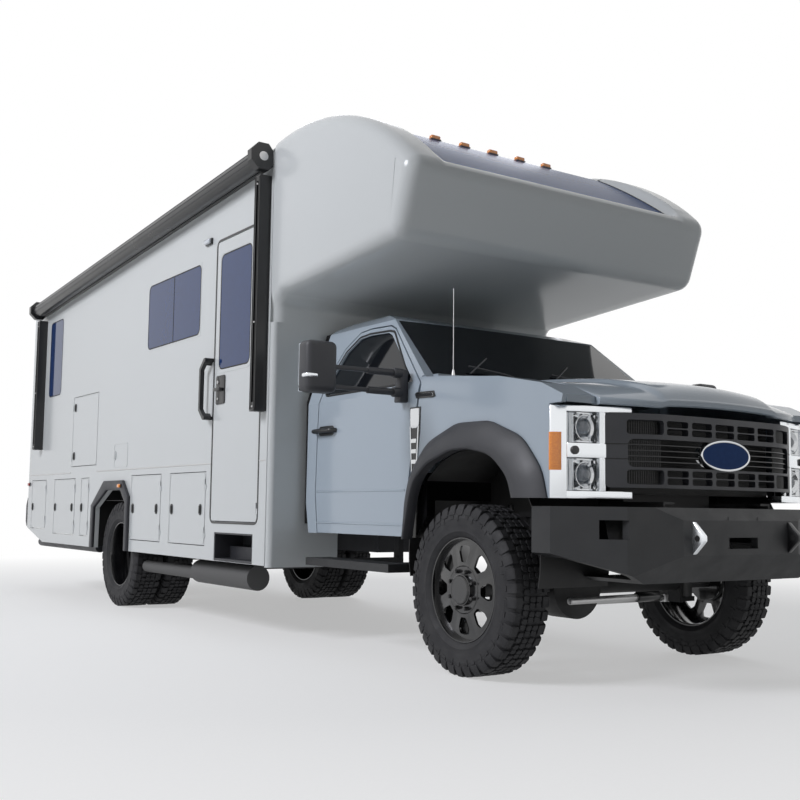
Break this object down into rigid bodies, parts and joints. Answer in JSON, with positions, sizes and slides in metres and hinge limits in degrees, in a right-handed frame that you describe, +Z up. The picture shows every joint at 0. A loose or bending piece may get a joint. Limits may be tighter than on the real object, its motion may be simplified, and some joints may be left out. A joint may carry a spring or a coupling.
{
  "type": "motorhome",
  "caption": "Class C motorhome on a lifted four-wheel-drive truck chassis, with an over-cab cap, side awning, storage bays, dual rear wheels and a steel front bumper.",
  "frame": {"origin": "on the ground under the middle of the overall length, in the vehicle's middle plane", "axes": "+X is the vehicle's left (driver's) side, +Y points to the rear, +Z up"},
  "size_m": [3.48, 9.055, 3.5525],
  "materials": {
    "body_paint": "gloss",
    "gel_coat": "gloss",
    "black_steel": "satin",
    "dark_plastic": "matte",
    "chassis_steel": "satin",
    "bare_steel": "satin",
    "white_plastic": "matte",
    "bright": "polished",
    "lamp": "gloss",
    "glass": "gloss",
    "tyre": "matte",
    "black_rim": "gloss",
    "dark_gloss": "gloss",
    "cast_iron": "rough",
    "trim_fabric": "matte",
    "aluminium": "satin"
  },
  "bodies": {
    "chassis": {"frame": "chassis_steel", "front_axle": "chassis_steel", "rear_axle": "chassis_steel", "engine_block": "cast_iron", "tanks": "dark_plastic", "exhaust": "bare_steel", "cab_shell": "body_paint", "cab_interior": "trim_fabric", "front_fenders": "body_paint", "fender_flares": "dark_plastic", "grille": "dark_plastic", "headlamp_surrounds": "white_plastic", "headlamp_lenses": "lamp", "front_bumper": "black_steel", "running_boards": "black_steel", "house_wall_right": "gel_coat", "house_wall_left": "gel_coat", "house_wall_rear": "gel_coat", "house_front_panels": "gel_coat", "house_floor": "chassis_steel", "house_roof": "gel_coat", "front_cap": "gel_coat", "cap_panel": "dark_gloss", "fixed_glass": "glass", "awning_case": "black_steel", "awning_arms": "black_steel", "grab_handle": "black_steel", "entry_step": "dark_plastic", "body_lamps": "lamp", "rear_bumper": "dark_plastic", "roof_units": "white_plastic"},
    "hood": {"hood": "body_paint"},
    "cab_door_left": {"cab_door_left": "body_paint", "cab_door_glass_left": "glass", "mirror_left": "dark_plastic"},
    "cab_door_right": {"cab_door_right": "body_paint", "cab_door_glass_right": "glass", "mirror_right": "dark_plastic"},
    "entry_door": {"entry_door": "gel_coat", "entry_door_glass": "glass"},
    "service_door": {"service_door": "gel_coat"},
    "knuckle_left": {"knuckle_left": "cast_iron"},
    "knuckle_right": {"knuckle_right": "cast_iron"},
    "tie_rod": {"tie_rod": "bare_steel"},
    "front_wheel_left": {"front_tyre_left": "tyre", "front_rim_left": "black_rim"},
    "front_wheel_right": {"front_tyre_right": "tyre", "front_rim_right": "black_rim"},
    "rear_wheels_left": {"rear_tyres_left": "tyre", "rear_rims_left": "black_rim"},
    "rear_wheels_right": {"rear_tyres_right": "tyre", "rear_rims_right": "black_rim"},
    "bay_door_1": {"bay_door_1": "gel_coat"},
    "bay_door_2": {"bay_door_2": "gel_coat"},
    "bay_door_3": {"bay_door_3": "gel_coat"},
    "bay_door_4": {"bay_door_4": "gel_coat"},
    "bay_door_5": {"bay_door_5": "gel_coat"},
    "left_bay_door_1": {"left_bay_door_1": "gel_coat"},
    "left_bay_door_2": {"left_bay_door_2": "gel_coat"}
  },
  "joints": [
    {"name": "steering_left", "type": "hinge", "parent": "chassis", "child": "knuckle_left", "pos_m": [0.77, -3.3795, 0.47], "axis": [0, 0, 1], "range_deg": [-30, 30]},
    {"name": "front_wheel_spin_left", "type": "hinge", "parent": "knuckle_left", "child": "front_wheel_left", "pos_m": [0.917, -3.3795, 0.47], "axis": [1, 0, 0], "continuous": true},
    {"name": "rear_wheel_spin_left", "type": "hinge", "parent": "chassis", "child": "rear_wheels_left", "pos_m": [0.9495, 1.5305, 0.47], "axis": [1, 0, 0], "continuous": true},
    {"name": "cab_door_hinge_left", "type": "hinge", "parent": "chassis", "child": "cab_door_left", "pos_m": [1.012, -2.8782, 1.293], "axis": [0, 0, -1], "range_deg": [0, 65]},
    {"name": "steering_right", "type": "hinge", "parent": "chassis", "child": "knuckle_right", "pos_m": [-0.77, -3.3795, 0.47], "axis": [0, 0, 1], "range_deg": [-30, 30]},
    {"name": "front_wheel_spin_right", "type": "hinge", "parent": "knuckle_right", "child": "front_wheel_right", "pos_m": [-0.917, -3.3795, 0.47], "axis": [1, 0, 0], "continuous": true},
    {"name": "rear_wheel_spin_right", "type": "hinge", "parent": "chassis", "child": "rear_wheels_right", "pos_m": [-0.9495, 1.5305, 0.47], "axis": [1, 0, 0], "continuous": true},
    {"name": "cab_door_hinge_right", "type": "hinge", "parent": "chassis", "child": "cab_door_right", "pos_m": [-1.012, -2.8782, 1.293], "axis": [0, 0, 1], "range_deg": [0, 65]},
    {"name": "tie_rod_slide", "type": "slide", "parent": "chassis", "child": "tie_rod", "axis": [-1, 0, 0], "range_m": [-0.1, 0.1]},
    {"name": "hood_hinge", "type": "hinge", "parent": "chassis", "child": "hood", "pos_m": [0, -3.0535, 1.628], "axis": [-1, 0, 0], "range_deg": [0, 45]},
    {"name": "entry_door_hinge", "type": "hinge", "parent": "chassis", "child": "entry_door", "pos_m": [-1.275, -1.3415, 1.86], "axis": [0, 0, 1], "range_deg": [0, 90]},
    {"name": "service_door_hinge", "type": "hinge", "parent": "chassis", "child": "service_door", "pos_m": [-1.275, 2.8455, 1.646], "axis": [0, 0, -1], "range_deg": [0, 90]},
    {"name": "bay_door_1_hinge", "type": "hinge", "parent": "chassis", "child": "bay_door_1", "pos_m": [-1.275, 3.7085, 0.912], "axis": [0, 0, 1], "range_deg": [0, 90]},
    {"name": "bay_door_2_hinge", "type": "hinge", "parent": "chassis", "child": "bay_door_2", "pos_m": [-1.275, 2.7115, 0.893], "axis": [0, 0, 1], "range_deg": [0, 90]},
    {"name": "bay_door_3_hinge", "type": "hinge", "parent": "chassis", "child": "bay_door_3", "pos_m": [-1.275, 2.2865, 0.893], "axis": [0, 0, 1], "range_deg": [0, 90]},
    {"name": "bay_door_4_hinge", "type": "hinge", "parent": "chassis", "child": "bay_door_4", "pos_m": [-1.275, 0.4315, 0.893], "axis": [0, 0, 1], "range_deg": [0, 90]},
    {"name": "bay_door_5_hinge", "type": "hinge", "parent": "chassis", "child": "bay_door_5", "pos_m": [-1.275, -0.4685, 0.893], "axis": [0, 0, 1], "range_deg": [0, 90]},
    {"name": "left_bay_door_1_hinge", "type": "hinge", "parent": "chassis", "child": "left_bay_door_1", "pos_m": [1.275, 2.4315, 0.893], "axis": [0, 0, -1], "range_deg": [0, 90]},
    {"name": "left_bay_door_2_hinge", "type": "hinge", "parent": "chassis", "child": "left_bay_door_2", "pos_m": [1.275, -0.4685, 0.893], "axis": [0, 0, -1], "range_deg": [0, 90]}
  ],
  "couplings": [
    {"joint": "steering_right", "follows": "steering_left", "ratio": 1},
    {"joint": "tie_rod_slide", "follows": "steering_left", "m_per_rad": 0.17}
  ]
}
